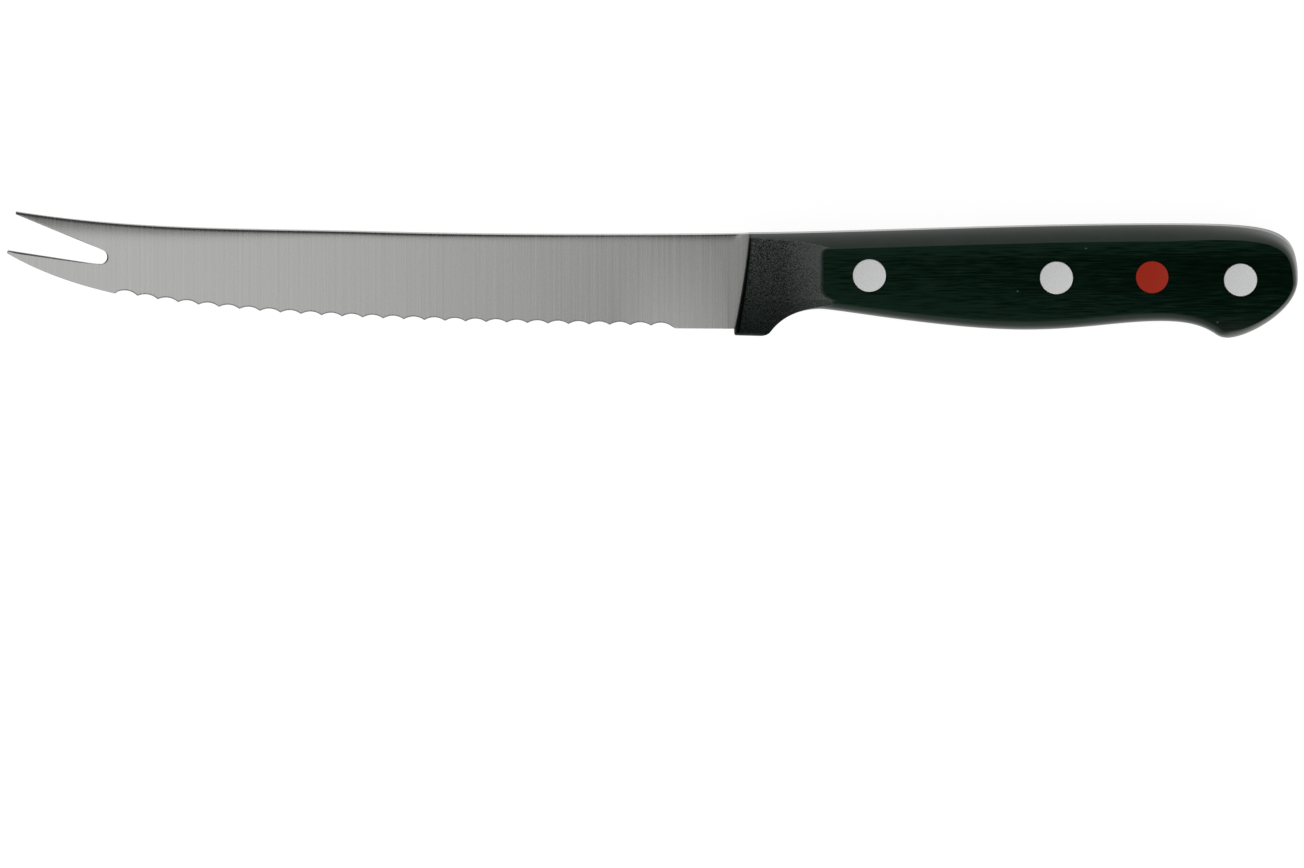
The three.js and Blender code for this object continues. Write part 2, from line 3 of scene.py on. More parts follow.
import bmesh
import bpy
import mathutils
import numpy as np
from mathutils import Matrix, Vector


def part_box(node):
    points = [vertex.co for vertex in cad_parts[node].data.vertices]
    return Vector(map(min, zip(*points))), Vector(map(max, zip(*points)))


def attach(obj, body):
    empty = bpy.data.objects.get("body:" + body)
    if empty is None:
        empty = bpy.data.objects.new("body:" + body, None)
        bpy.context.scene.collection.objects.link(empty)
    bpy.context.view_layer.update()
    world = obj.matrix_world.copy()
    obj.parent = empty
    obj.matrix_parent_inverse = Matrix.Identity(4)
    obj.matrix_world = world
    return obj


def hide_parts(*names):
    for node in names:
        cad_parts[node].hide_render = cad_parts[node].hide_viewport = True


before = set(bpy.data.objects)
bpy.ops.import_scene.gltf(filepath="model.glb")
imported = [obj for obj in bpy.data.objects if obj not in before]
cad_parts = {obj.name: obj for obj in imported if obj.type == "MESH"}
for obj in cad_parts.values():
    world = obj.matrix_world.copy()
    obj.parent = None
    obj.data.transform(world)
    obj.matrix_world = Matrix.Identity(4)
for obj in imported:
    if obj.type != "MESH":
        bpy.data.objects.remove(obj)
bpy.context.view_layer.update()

# Where the knife lies. It is on its side, tip to the left, spine to the back, and every size below is
# in millimetres from one datum: the front of the handle, the height where the handle's front is set
# out from, and the middle of the steel's thickness. place() turns such points into the frame's metres.
millimetre = 0.001
blade_length = 140.0
handle_length = 105.5
upper_tine_rise = 12.2
tine_tip_radius = 0.3
steel_low, steel_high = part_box("blade_with_tang")
datum = np.array([
    steel_high.x - handle_length * millimetre,
    steel_high.y - (upper_tine_rise + tine_tip_radius) * millimetre,
    (steel_low.z + steel_high.z) / 2,
])


def place(points):
    """Points in the frame's metres: the datum's place plus millimetres turned into metres."""
    return datum + np.asarray(points, float) * millimetre


# The camera, as the photograph was taken: from nearly straight above, leaning a little towards the
# spine, through a lens so long that nothing shrinks with distance. The picture's scale and the pixel
# that the datum falls on were read from the photograph.
photo_width, photo_height = 1304, 868
pixels_a_millimetre = 5.257
datum_pixel_x, datum_pixel_y = 743.2, 276.2
view_lean = math.radians(10)
camera_distance = 900.0


def added(name, data):
    """A new object in the scene, with its mesh, its lamp or its camera."""
    thing = bpy.data.objects.new(name, data)
    bpy.context.scene.collection.objects.link(thing)
    return thing


camera_data = bpy.data.cameras.new("studio_camera")
camera_data.type = "ORTHO"
camera_data.ortho_scale = photo_width / pixels_a_millimetre * millimetre
camera = added("studio_camera", camera_data)
bpy.context.scene.camera = camera
aim = np.array([
    (photo_width / 2 - datum_pixel_x) / pixels_a_millimetre,
    (datum_pixel_y - photo_height / 2) / pixels_a_millimetre / math.cos(view_lean),
    0.0,
])
towards_camera = np.array([0.0, math.sin(view_lean), math.cos(view_lean)])
camera.location = place(aim + camera_distance * towards_camera)
camera.rotation_euler = (-view_lean, 0, 0)
bpy.context.scene.view_settings.view_transform = "Standard"

# The studio: a white table that glows, and is see-through from beneath so that the underside can be
# looked at, in a room that is dim overhead, with a dark card at the back and one at the left. Four soft
# boxes light it, and the far border of the blade's own is why steel that tilts to the back darkens.
table_half, table_gap = 2500.0, 0.02
table_level = -datum[2] / millimetre - table_gap
table_corners = [(-1, -1), (1, -1), (1, 1), (-1, 1)]
table_points = [(x * table_half, y * table_half, table_level) for x, y in table_corners]
table_mesh = bpy.data.meshes.new("studio_table")
table_mesh.from_pydata(place(table_points).tolist(), [], [(0, 1, 2, 3)])
table = added("studio_table", table_mesh)


def wired(tree, kind, inputs=None, **settings):
    """A node of a kind, with its settings, and with each input given a value or linked to a socket."""
    node = tree.nodes.new("ShaderNode" + kind)
    for setting, value in settings.items():
        setattr(node, setting, value)
    for socket, value in (inputs or {}).items():
        if isinstance(value, bpy.types.NodeSocket):
            tree.links.new(value, node.inputs[socket])
        else:
            node.inputs[socket].default_value = value
    return node


def spread(value, low, high, start=0.0, end=1.0):
    """A value between start and end, spread evenly between low and high."""
    settings = {"Value": value, "From Min": start, "From Max": end, "To Min": low, "To Max": high}
    return wired(value.id_data, "MapRange", settings).outputs["Result"]


def joined(operation, first, *others):
    """Values added, multiplied or compared, one after the other. One of the first two is a socket."""
    tree = (first if isinstance(first, bpy.types.NodeSocket) else others[0]).id_data
    for other in others:
        first = wired(tree, "Math", {0: first, 1: other}, operation=operation).outputs["Value"]
    return first


def painted(name, settings):
    """A material with its own shader, and the shader's plain settings on its own sockets."""
    material = bpy.data.materials.new(name)
    material.use_nodes = True
    shader = material.node_tree.nodes["Principled BSDF"]
    for socket, value in settings.items():
        shader.inputs[socket].default_value = value
    return material, material.node_tree, shader


table_paint, table_tree, table_shader = painted("table_paint", {
    "Base Color": (0.15, 0.15, 0.15, 1), "Roughness": 0.9, "Specular IOR Level": 0.1,
    "Emission Color": (1, 1, 1, 1), "Emission Strength": 0.94,
})
seen_through = wired(table_tree, "MixShader", {
    0: wired(table_tree, "NewGeometry").outputs["Backfacing"],
    1: table_shader.outputs["BSDF"], 2: wired(table_tree, "BsdfTransparent").outputs["BSDF"],
})
table_tree.links.new(seen_through.outputs["Shader"], table_tree.nodes["Material Output"].inputs["Surface"])
table_mesh.materials.append(table_paint)

# How bright the room is where it is dim, and where it starts and ends to be dim, as the x, y or z of a
# direction one long: from overhead, from the back, its top and its sides, and from the left and its sides.
sky_overhead, sky_back, sky_left = 0.24, 0.15, 0.12
overhead_from, back_from, back_top, back_sides = (0.3, 0.7), (-0.1, 0.2), (0.4, 0.65), (0.25, 0.6)
left_from, left_sides, left_forward = (-0.5, 0), (0.3, 0.6), 0.15
sky = bpy.data.worlds.new("studio_sky")
sky.use_nodes = True
bpy.context.scene.world = sky
sky_towards = wired(sky.node_tree, "TexCoord").outputs["Generated"]
sky_axes = wired(sky.node_tree, "SeparateXYZ", {"Vector": sky_towards}).outputs
sky_x, sky_y, sky_z = (sky_axes[axis] for axis in "XYZ")
back_card = joined(
    "MAXIMUM", spread(joined("ABSOLUTE", sky_x, 0), sky_back, 1, *back_sides),
    spread(sky_y, 1, sky_back, *back_from), spread(sky_z, 1, sky_back, *back_top),
)
off_left = joined("ABSOLUTE", joined("ADD", sky_y, left_forward), 0)
left_card = joined(
    "MAXIMUM", spread(off_left, sky_left, 1, *left_sides), spread(sky_x, sky_left, 1, *left_from)
)
sky_level = joined("MULTIPLY", spread(sky_z, 1, sky_overhead, *overhead_from), back_card, left_card)
sky_background = sky.node_tree.nodes["Background"]
sky.node_tree.links.new(sky_level, sky_background.inputs["Strength"])
sky_background.inputs["Color"].default_value = (1, 1, 1, 1)

soft_boxes = {
    # name: (where it stands, where it looks, width, height, how bright its face is)
    "blade_soft_box": ((-236, -138, 480), (-236, -138, 0), 420, 252, 0.508),
    "tip_soft_box": ((-275, -138, 500), (-275, -138, 0), 400, 252, 0.15),
    "right_soft_box": ((520, -40, 600), (0, 0, 0), 500, 700, 1.15),
    "front_soft_box": ((0, -900, 320), (0, 0, 0), 1200, 400, 1.3),
}
for name, (stand, looks_at, width, height, brightness) in soft_boxes.items():
    lamp = bpy.data.lights.new(name, "AREA")
    lamp.shape = "RECTANGLE"
    lamp.size, lamp.size_y = width * millimetre, height * millimetre
    lamp.energy = brightness * math.pi * lamp.size * lamp.size_y
    soft_box = added(name, lamp)
    soft_box.location = place(stand)
    looking = mathutils.Vector(np.subtract(looks_at, stand))
    soft_box.rotation_euler = looking.to_track_quat("-Z", "Y").to_euler()
    soft_box.visible_camera = False

# The blade and its full tang, one piece of stainless steel. It is stamped from 1.8 mm sheet, drilled
# for three rivets, ground thinner from the spine to the edge, fluted along the edge from the far side
# with a grinding wheel, and brushed across. The tang follows the handle's outline exactly.
steel_half = 0.9
heel_drop = 10.0
spine_rise, spine_middle_rise = 8.25, 8.65
upper_tine_setback, lower_tine_rise = 1.6, 4.65
spine_middle_share = 0.5
spine_rear_shares = [(0.143, 0.983), (0.32, 0.964)]
spine_front_shares = [(0.35, 0.17), (0.66, 0.04)]
heel_plain_length = 13.5
edge_middle = np.array([-96.0, -6.73])
edge_rear_shares = [(0.321, 0.107), (0.758, 0.358)]
edge_front_shares = [(0.27, 0.108), (0.677, 0.238)]
edge_rear_steps, edge_front_steps = 900, 600


def bend(controls, steps=400):
    """Points along a Bezier curve: each control point times its Bernstein share, added up."""
    along = np.linspace(0, 1, steps)[:, None]
    degree = len(controls) - 1
    return sum(
        math.comb(degree, i) * along**i * (1 - along) ** (degree - i) * np.asarray(control, float)
        for i, control in enumerate(controls)
    )


def toward(start, end, share):
    """The value or point at a share of the way from start to end: start + (end - start) * share."""
    start, end = np.asarray(start, float), np.asarray(end, float)
    return start + (end - start) * np.asarray(share)


def eased(start, shares, end, steps=400):
    """A cubic curve between two points whose handles are shares of the way between them."""
    return bend([start, *(toward(start, end, share) for share in shares), end], steps)


def chained(*paths):
    """Paths that meet end to end, as one path without the doubled points."""
    return np.concatenate([path[: -1] for path in paths[: -1]] + [paths[-1]])


def walked(path):
    """How far along a path each of its points is: the running sum of the straight steps."""
    return np.concatenate([[0.0], np.cumsum(np.linalg.norm(np.diff(path[:, :2], axis=0), axis=1))])


def stepped(path, distance, wanted):
    """The points of a path that lie at wanted distances along it."""
    return np.stack([np.interp(wanted, distance, column) for column in path.T], axis=1)


def evenly(path, count):
    """A path walked again in equal steps."""
    distance = walked(path)
    return stepped(path, distance, np.linspace(0, distance[-1], count))


def unit(steps):
    """Steps of one millimetre each, in the directions of the steps given."""
    return steps / np.linalg.norm(steps, axis=-1, keepdims=True)


def over(path, x):
    """A path taken at given places along x: those places, and beside each what the path has there."""
    order = np.argsort(path[:, 0])
    return np.stack([x, *(np.interp(x, path[order, 0], column[order]) for column in path.T[1:])], axis=-1)


def gentle(value, start, end):
    """0 before start and 1 after end, easing in and out between them."""
    share = np.clip((value - start) / (end - start), 0, 1)
    return share * share * (3 - 2 * share)


upper_tip = np.array([upper_tine_setback + tine_tip_radius - blade_length, upper_tine_rise])
lower_tip = np.array([tine_tip_radius - blade_length, lower_tine_rise])
spine_middle = np.array([-blade_length * spine_middle_share, spine_middle_rise])
spine_end = upper_tip + [0, tine_tip_radius]
spine_bends = [(-blade_length * x, spine_rise * y) for x, y in spine_rear_shares]
spine = chained(
    bend([(0, spine_rise), *spine_bends, spine_middle]),
    eased(spine_middle, spine_front_shares, spine_end),
)
edge_start = np.array([-heel_plain_length, -heel_drop])
edge_bend = toward(edge_middle, lower_tip, edge_front_shares[1])
tine_side = unit(lower_tip - edge_bend)
edge_end = lower_tip + tine_tip_radius * np.array([-tine_side[1], tine_side[0]])
edge_level = toward(edge_middle, lower_tip, edge_front_shares[0])
edge = chained(
    eased(edge_start, edge_rear_shares, edge_middle, edge_rear_steps),
    bend([edge_middle, edge_level, edge_bend, edge_end], edge_front_steps),
)
edge_with_heel = np.concatenate([[(0, -heel_drop)], edge])

# The handle's outline, which the tang and both scales share. Its front leans forward to a small
# guard, its underside has a finger groove, a belly and a hooked end, and its butt is round. With each
# point go how far the scale's flat side stays in from it and how softly the scale rounds over there.
front_top_rise, front_top_setback, front_lean, front_straight_share = 8.34, 1.1, 3.05, 0.62
guard_overhang, guard_corner = 1.15, 1.05
guard_bottom_length, guard_heel, guard_heel_share = 2.3, (5.2, -10.18), 0.72
groove_top = (14.6, -5.95)
belly_share, belly_drop = 0.601, 9.98
waist_drop, hook_flank_length = 8.33, 10.5
hook_front_drop, hook_nose_length, hook_nose_drop = 10.93, 2.9, 11.87
hook_rear_drop, hook_setback, hook_nose_share = 11.64, 12.6, 0.45
butt_middle_drop, handle_top_rise = 0.4, 10.06
groove_shares = [(0.22, 0.66), (0.56, 1)]
belly_front_shares = [(0.08, 0), (0.62, 1)]
belly_rear_shares = [(0.42, 0), (0.7, 1)]
hook_shares = [(0.48, 0), (0.762, 0.308)]
butt_low_shares = [(0.357, 0.058), (1, 0.51)]
butt_top_shares = [(0, 0.91), (0.19, 1)]
top_shares = [(0.36, 0), (0.75, 0.95)]
top_band, butt_band, hook_band, belly_band = 2.15, 0.9, 2.4, 3.0
groove_band, guard_band, front_band = 2.6, 0.35, 0.4
butt_band_lag, front_steps, guard_steps = 2, 300, 40
guard_drop = heel_drop + guard_overhang


def front_x(y):
    """The handle's front at a height: it leans forward with the drop, and a little more lower down."""
    share = (front_top_rise - y) / (front_top_rise + guard_drop)
    bow = front_straight_share * share + (1 - front_straight_share) * share * share
    return front_top_setback - front_lean * bow


def stretch(path, bands, softs=(1, 1), lag=1):
    """A stretch of outline with its band and softness beside each point: x, y, band, softness.

    Both run evenly along it, but a lag above 1 holds the band back and lets it change late.
    """
    share = np.linspace(0, 1, len(path))
    return np.column_stack([path, toward(*bands, share**lag), toward(*softs, share)])


front_bottom = (front_x(guard_corner - guard_drop), guard_corner - guard_drop)
front_top = (front_x(front_top_rise), front_top_rise)
guard_front = (front_x(-guard_drop) + guard_corner, -guard_drop)
guard_rear = (guard_bottom_length, -guard_drop)
hook_rear = (handle_length - hook_setback, -hook_rear_drop)
hook_front = (hook_rear[0] - hook_nose_length, -hook_front_drop)
waist_top = (hook_front[0] - hook_flank_length, -waist_drop)
belly_low = (toward(groove_top[0], waist_top[0], belly_share), -belly_drop)
butt_rear = (handle_length, -butt_middle_drop)
top_rear = (waist_top[0], handle_top_rise)
guard_heel_bend = (toward(guard_rear[0], guard_heel[0], guard_heel_share), -guard_drop)
hook_nose = (hook_front[0] + hook_nose_share * hook_nose_length, -hook_nose_drop)
front_heights = np.linspace(front_top_rise, front_bottom[1], front_steps)

guard_corner_run = stretch(
    bend([front_bottom, (front_x(-guard_drop), -guard_drop), guard_front]), (guard_band, guard_band)
)
lower_run = chained(
    stretch(bend([guard_front, guard_rear], guard_steps), (guard_band, guard_band)),
    stretch(bend([guard_rear, guard_heel_bend, guard_heel]), (guard_band, guard_band)),
    stretch(eased(guard_heel, groove_shares, groove_top), (guard_band, groove_band)),
    stretch(eased(groove_top, belly_front_shares, belly_low), (groove_band, belly_band)),
    stretch(eased(belly_low, belly_rear_shares, waist_top), (belly_band, belly_band)),
    stretch(eased(waist_top, hook_shares, hook_front), (belly_band, hook_band)),
    stretch(bend([hook_front, hook_nose, hook_rear]), (hook_band, hook_band), (1, 0.35)),
    stretch(eased(hook_rear, butt_low_shares, butt_rear), (hook_band, butt_band), (0.35, 0)),
)
upper_run = chained(
    stretch(eased(butt_rear, butt_top_shares, top_rear), (butt_band, top_band), (0, 0), butt_band_lag),
    stretch(eased(top_rear, top_shares, front_top), (top_band, top_band), (0, 0)),
)
front_run = stretch(
    np.column_stack([front_x(front_heights), front_heights]), (front_band, guard_band), (0, 0)
)

# The steel's own outline round the fork, and its middle line, which splits in two behind the fork.
# Every point of the outline is paired with a point of that line. A section is carried round the
# outline between the two, so one grid covers both faces and the rim.
fork_depth, fork_root_rise, fork_root_radius = 19.0, 3.77, 1.5
fork_root = np.array([fork_depth - fork_root_radius - blade_length, fork_root_rise])
flute_pitch, flute_depth, cusp_trim = 3.92, 0.67, 0.4
first_flute_length, plain_tine_edge = 2.1, 22.0
flute_tilt = math.radians(20)
flute_crown = flute_depth + cusp_trim
columns_a_flute = 14
run_out_columns = columns_a_flute // 2 + 2
fork_split_length = 119.2
upper_branch_bend, lower_branch_bend = (-121.5, 9.5), (-124.5, -2.0)
root_fan = math.radians(50)
front_reach, butt_reach = 4.0, 8.0
tine_columns, tip_columns, root_columns = 70, 14, 24
heel_columns, guard_columns, tang_columns, butt_columns = 20, 48, 110, 60
rough_half, ground_spine_half, ground_edge_half, ground_tine_half = 0.92, 0.65, 0.25, 0.45
ground_start, ground_run_out, ground_tine_run = 0.5, 24.0, 23.0
crown_start, crown_narrow, crown_wide, crown_slope = 70.0, 1.7, 4.4, 0.08
roll_narrow, roll_wide, roll_slope = 0.3, 0.6, 0.18
crown_fade_start, crown_fade_end = 0.3, 2.2
bevel_width, bevel_depth, bevel_most_share = 0.25, 0.06, 0.03
plain_run_share, least_run_share, most_run_share = 0.2, 0.02, 0.4
spine_rim, slot_rim, edge_rim, tang_rim, least_rim = 0.15, 0.32, 0.08, 0.03, 0.001
spine_rim_start, spine_rim_end = 1.0, 11.0
rim_share, rim_rows = 0.45, 7
# Painted shade: how far each part's cut wall and rim are coloured towards dark grey, standing in for the
# shade and dark reflections along them, and further towards the butt.
slot_shade, tang_shade, edge_shade, spine_shade = 1.0, 0.5, 0.6, 0.25
butt_shade, butt_shade_start, butt_shade_end = 0.93, 84.0, 99.0
full_turn = 2 * math.pi


def arc(centre, radius, start, end, steps=60):
    """Points on a circle: the centre plus the radius turned from one angle to another."""
    angle = np.linspace(start, end, steps)
    return np.asarray(centre) + radius * np.column_stack([np.cos(angle), np.sin(angle)])


def tine_angle(tip, side):
    """Seen from the root's centre, where the inner side of a tine touches the fork's round root."""
    reach = tip - fork_root
    opening = math.asin((fork_root_radius + tine_tip_radius) / np.linalg.norm(reach))
    return math.atan2(reach[1], reach[0]) % full_turn - side * (full_turn / 4 - opening)


def part_of(path, start_x, end_x):
    """The part of a path between two places along x, with both places on it."""
    low, high = min(start_x, end_x), max(start_x, end_x)
    inside = path[(path[:, 0] > low) & (path[:, 0] < high)]
    return np.concatenate([over(path, [start_x]), inside, over(path, [end_x])])


upper_line = np.concatenate([upper_run[:, :2], spine])
lower_line = np.concatenate([lower_run[::-1, :2], edge_with_heel[:1] - [guard_bottom_length, 0], edge])


def middle_of(x):
    """The steel's middle line: half way between its lower and its upper outline."""
    return (over(lower_line, x) + over(upper_line, x)) / 2


# Under the edge the columns stand square to it, and fall on every crown and every cusp.
flute_column = flute_pitch / columns_a_flute
fluted_path = np.concatenate([[edge_start + [run_out_columns * flute_column, 0]], edge])
edge_walk = walked(fluted_path) - run_out_columns * flute_column
split_walk = np.interp(fork_split_length, -fluted_path[:, 0], edge_walk)
split_column = int((split_walk - first_flute_length) / flute_column)
column_walk = first_flute_length + flute_column * np.arange(split_column, -run_out_columns - 1, -1)
edge_base = stepped(fluted_path, edge_walk, column_walk)
edge_slope = np.gradient(edge_base[:, 1]) / np.gradient(edge_base[:, 0])
edge_inward = unit(np.column_stack([-edge_slope, np.ones(len(edge_slope))]))
height_to_middle = middle_of(edge_base[:, 0])[:, 1] - edge_base[:, 1]
edge_middles = middle_of(edge_base[:, 0] - edge_slope * height_to_middle)


def ground_half(points):
    """Half the ground thickness: in a straight run from the spine's to the edge's, at each length."""
    ahead = np.clip(-points[..., 0], 0, blade_length - tine_tip_radius)
    at_spine = toward(rough_half, ground_spine_half, ahead / blade_length)
    at_edge = toward(rough_half, ground_edge_half, gentle(ahead, ground_start, ground_run_out))
    to_tip = gentle(ahead, blade_length - ground_tine_run, blade_length)
    at_edge = at_edge + (ground_tine_half - ground_edge_half) * to_tip
    low, high = over(edge_with_heel, -ahead)[..., 1], over(spine, -ahead)[..., 1]
    return np.minimum(toward(at_edge, at_spine, (points[..., 1] - low) / (high - low)), steel_half)


def face_height(points):
    """The near face: the ground half thickness, less a wide crown and a narrow roll to the spine.

    Each falls off with the square of the nearness to the spine, and both start at the handle.
    """
    ahead = -points[..., 0]
    below_spine = over(spine, -ahead)[..., 1] - points[..., 1]
    crown_width = toward(crown_narrow, crown_wide, gentle(ahead, crown_start, blade_length))
    roll_width = toward(roll_narrow, roll_wide, gentle(ahead, 0, crown_start))
    drop = sum(
        slope * width * np.clip(1 - below_spine / width, 0, 1) ** 2
        for slope, width in [(crown_slope, crown_width), (roll_slope, roll_width)]
    )
    return ground_half(points) - drop * gentle(ahead, crown_fade_start, crown_fade_end)


# The flutes' floor is a round groove tilted to the face: it meets the near face in each scallop's
# outline, and falls to the far face with the tilt. The groove's sag grows away from its middle.
wheel_sag = flute_depth * math.sin(flute_tilt)
wheel_radius = ((flute_pitch / 2) ** 2 + wheel_sag**2) / (2 * wheel_sag)
flute_count = int((edge_walk[-1] - plain_tine_edge - first_flute_length) / flute_pitch) + 1
flute_number = np.clip(np.round((column_walk - first_flute_length) / flute_pitch), 0, flute_count - 1)
off_centre = np.abs(column_walk - first_flute_length - flute_number * flute_pitch)
flute_sag = wheel_radius - np.sqrt(wheel_radius**2 - np.minimum(off_centre, flute_pitch) ** 2)
face_slope = ground_half(edge_base + edge_inward) - ground_half(edge_base)
flute_fall = math.tan(flute_tilt)
scallop = flute_crown - flute_sag / (math.cos(flute_tilt) * (flute_fall + face_slope))
scallop = np.maximum(scallop, 0)
edge_outline = edge_base + edge_inward * scallop[:, None]


def round_butt(lower, upper, columns):
    """What a lower and an upper run have round the butt, in equal steps, without the two end points."""
    front = handle_length - butt_reach
    behind = np.concatenate([part_of(lower, front, handle_length)[:-1], part_of(upper, handle_length, front)])
    return evenly(behind, columns)[1:-1]


# The plain heel, the step down to the guard, and the tang under the handle.
heel_x = np.linspace(edge_base[-1, 0], -front_reach, heel_columns)[1:]
heel_outline = np.column_stack([heel_x, np.full(len(heel_x), -heel_drop)])
guard_outline = evenly(np.concatenate([
    [(-front_reach, -heel_drop), (front_x(-heel_drop), -heel_drop)],
    guard_corner_run[:-1, :2],
    part_of(lower_run[:, :2], guard_front[0], front_reach),
]), guard_columns)[1:]
guard_x = np.linspace(-front_reach, front_reach, guard_columns)[1:]
tang_x = np.linspace(front_reach, handle_length - butt_reach, tang_columns)[1:]
tang_outline = over(lower_run[:, :2], tang_x)
butt_outline = round_butt(lower_run[:, :2], upper_run[:, :2], butt_columns)

under_x = np.concatenate([heel_x, guard_x, tang_x])
lower_middles = np.concatenate([edge_middles, middle_of(under_x)])
over_x = lower_middles[::-1, 0]
upper_outline = over(upper_line, over_x)
over_handle = over_x > front_top[0]
over_rim = toward(tang_rim, spine_rim, gentle(-over_x, spine_rim_start, spine_rim_end))

# Round the fork: out along the spine, round the upper tip, back along the slot, round its root, out
# again, round the lower tip and back along the edge. The tips and the root fan out from one point.
split = lower_middles[0]
upper_branch = evenly(bend([split, upper_branch_bend, upper_tip]), tine_columns)
lower_branch = evenly(bend([split, lower_branch_bend, lower_tip]), tine_columns)
upper_angle, lower_angle = tine_angle(upper_tip, 1), tine_angle(lower_tip, -1)
spine_run_out, edge_run_out = spine[-1] - spine[-2], edge[-1] - edge[-2]
spine_side = math.atan2(-spine_run_out[0], spine_run_out[1])
edge_side = math.atan2(edge_run_out[0], -edge_run_out[1]) + full_turn
upper_tip_arc = arc(upper_tip, tine_tip_radius, spine_side, upper_angle + full_turn / 2, tip_columns)
lower_tip_arc = arc(lower_tip, tine_tip_radius, lower_angle - full_turn / 2, edge_side, tip_columns)
tine_spine = evenly(part_of(spine, split[0], spine_end[0]), tine_columns)
upper_slot = evenly(np.concatenate([
    upper_tip_arc[-1:], arc(fork_root, fork_root_radius, upper_angle, root_fan)
]), tine_columns)
root_arc = arc(fork_root, fork_root_radius, root_fan, -root_fan, root_columns)
lower_slot = evenly(np.concatenate([
    arc(fork_root, fork_root_radius, -root_fan, lower_angle - full_turn), lower_tip_arc[:1]
]), tine_columns)
tine_walk = np.linspace(edge_walk[-1], column_walk[0], tine_columns)
tine_edge = stepped(fluted_path, edge_walk, tine_walk)


def over_columns(parts, kind, *shape):
    """One kind of value for all columns: a part has it column by column, or once for all of its own."""
    return np.concatenate([np.broadcast_to(part[kind], (len(part[0]), *shape)) for part in parts])


under_handle = -len(guard_x) - len(tang_x)
steel_parts = [
    # the outline, its middle line, the radius that its rim is rounded with, and how dark its wall is painted
    # as shade
    (np.concatenate([edge_outline, heel_outline]), lower_middles[:under_handle], edge_rim, edge_shade),
    (np.concatenate([guard_outline, tang_outline]), lower_middles[under_handle:], tang_rim, tang_shade),
    (butt_outline, lower_middles[-1], tang_rim, tang_shade),
    (upper_outline[over_handle], lower_middles[::-1][over_handle], tang_rim, tang_shade),
    (upper_outline[~over_handle], lower_middles[::-1][~over_handle], over_rim[~over_handle], spine_shade),
    (tine_spine[1:], upper_branch[1:], spine_rim, spine_shade),
    (upper_tip_arc[1:], upper_branch[-1], slot_rim, slot_shade),
    (upper_slot[1:], upper_branch[::-1][1:], slot_rim, slot_shade),
    (root_arc[1:], split, slot_rim, slot_shade),
    (lower_slot[1:], lower_branch[1:], slot_rim, slot_shade),
    (lower_tip_arc[1:], lower_branch[-1], slot_rim, slot_shade),
    (tine_edge[1:-1], lower_branch[::-1][1:-1], edge_rim, edge_shade),
]
steel_outline, steel_middle = over_columns(steel_parts, 0, 2), over_columns(steel_parts, 1, 2)
# Painted shade: the walls' dark colour deepens towards the butt.
at_butt = gentle(steel_outline[:, 0], butt_shade_start, butt_shade_end)
steel_rim, painted_wall_darkness = over_columns(steel_parts, 2), over_columns(steel_parts, 3)
painted_wall_darkness = toward(painted_wall_darkness, butt_shade, at_butt)
reach = np.linalg.norm(steel_middle - steel_outline, axis=1)
towards_middle = unit(steel_middle - steel_outline)

fluted = np.arange(len(column_walk))
bevel_here = np.zeros(len(steel_outline))
bevel_here[fluted] = bevel_depth * (scallop > 0)
rim_height = face_height(steel_outline)
flute_floor = -rim_height
crown_height = ground_half(edge_base + edge_inward * flute_crown)
uncut_floor = crown_height + flute_crown * flute_fall - flute_sag / math.cos(flute_tilt)
flute_floor[fluted] = np.where(
    scallop > 0, rim_height[fluted] - bevel_depth, np.minimum(uncut_floor, rim_height[fluted])
)
rim_thickness = rim_height - bevel_here - np.maximum(flute_floor, -rim_height)
steel_rim = np.minimum(steel_rim, rim_share * np.minimum(rim_thickness, reach))
flute_run = plain_run_share * reach
flute_run[fluted] = (flute_floor + rim_height)[fluted] / (flute_fall - face_slope)
flute_run = np.clip(flute_run, toward(steel_rim, reach, least_run_share), most_run_share * reach)

# The section's rows: in along the near face to the rim, round it, and back along the far face.
face_shares = np.array([1, 0.8, 0.62, 0.46, 0.33, 0.23, 0.16, 0.11, 0.08, 0.06, 0.04])[:, None]
bevel_shares = np.array([1, 0.5])[:, None]
flute_shares = np.array([0.35, 0.7, 1])[:, None]
back_shares = np.array([0.06, 0.15, 0.3, 0.5, 0.75, 1])[:, None]
rim_angle = np.linspace(full_turn / 4, 0, rim_rows)[:, None]
near_inset = np.concatenate([
    toward(steel_rim, reach, face_shares),
    steel_rim + np.minimum(bevel_width, bevel_most_share * reach) * bevel_shares,
    steel_rim * (1 - np.cos(rim_angle)),
])
far_inset = np.concatenate([
    steel_rim * (1 - np.cos(rim_angle[::-1])),
    toward(steel_rim, flute_run, flute_shares),
    toward(flute_run, reach, back_shares),
])
near_points = steel_outline + towards_middle * near_inset[..., None]
far_points = steel_outline + towards_middle * far_inset[..., None]


def rounding(inset):
    """How far the rounded rim lies below the face: a quarter circle of the rim's radius."""
    short = np.clip(steel_rim - inset, 0, None)
    return steel_rim - np.sqrt(np.clip(steel_rim**2 - short**2, 0, None))


near_bevel = bevel_here * np.clip(1 - near_inset / bevel_width, 0, 1)
near_height = face_height(near_points) - rounding(near_inset) - near_bevel
far_height = rounding(far_inset) - face_height(far_points)
far_height[:, fluted] = np.maximum(far_height, flute_floor - far_inset * flute_fall)[:, fluted]
steel_grid = np.concatenate([np.dstack([near_points, near_height]), np.dstack([far_points, far_height])])

# The marks say how much painted shade darkens the cut wall at each point: nothing on the faces, and all of it
# at the rim.
past_face = (steel_rim - np.concatenate([near_inset, far_inset])) / np.maximum(steel_rim, least_rim)
steel_wall_shade = np.sqrt(np.clip(past_face, 0, 1)) * painted_wall_darkness
mark_name = "painted_wall_shade"
merge_distance = 0.0001


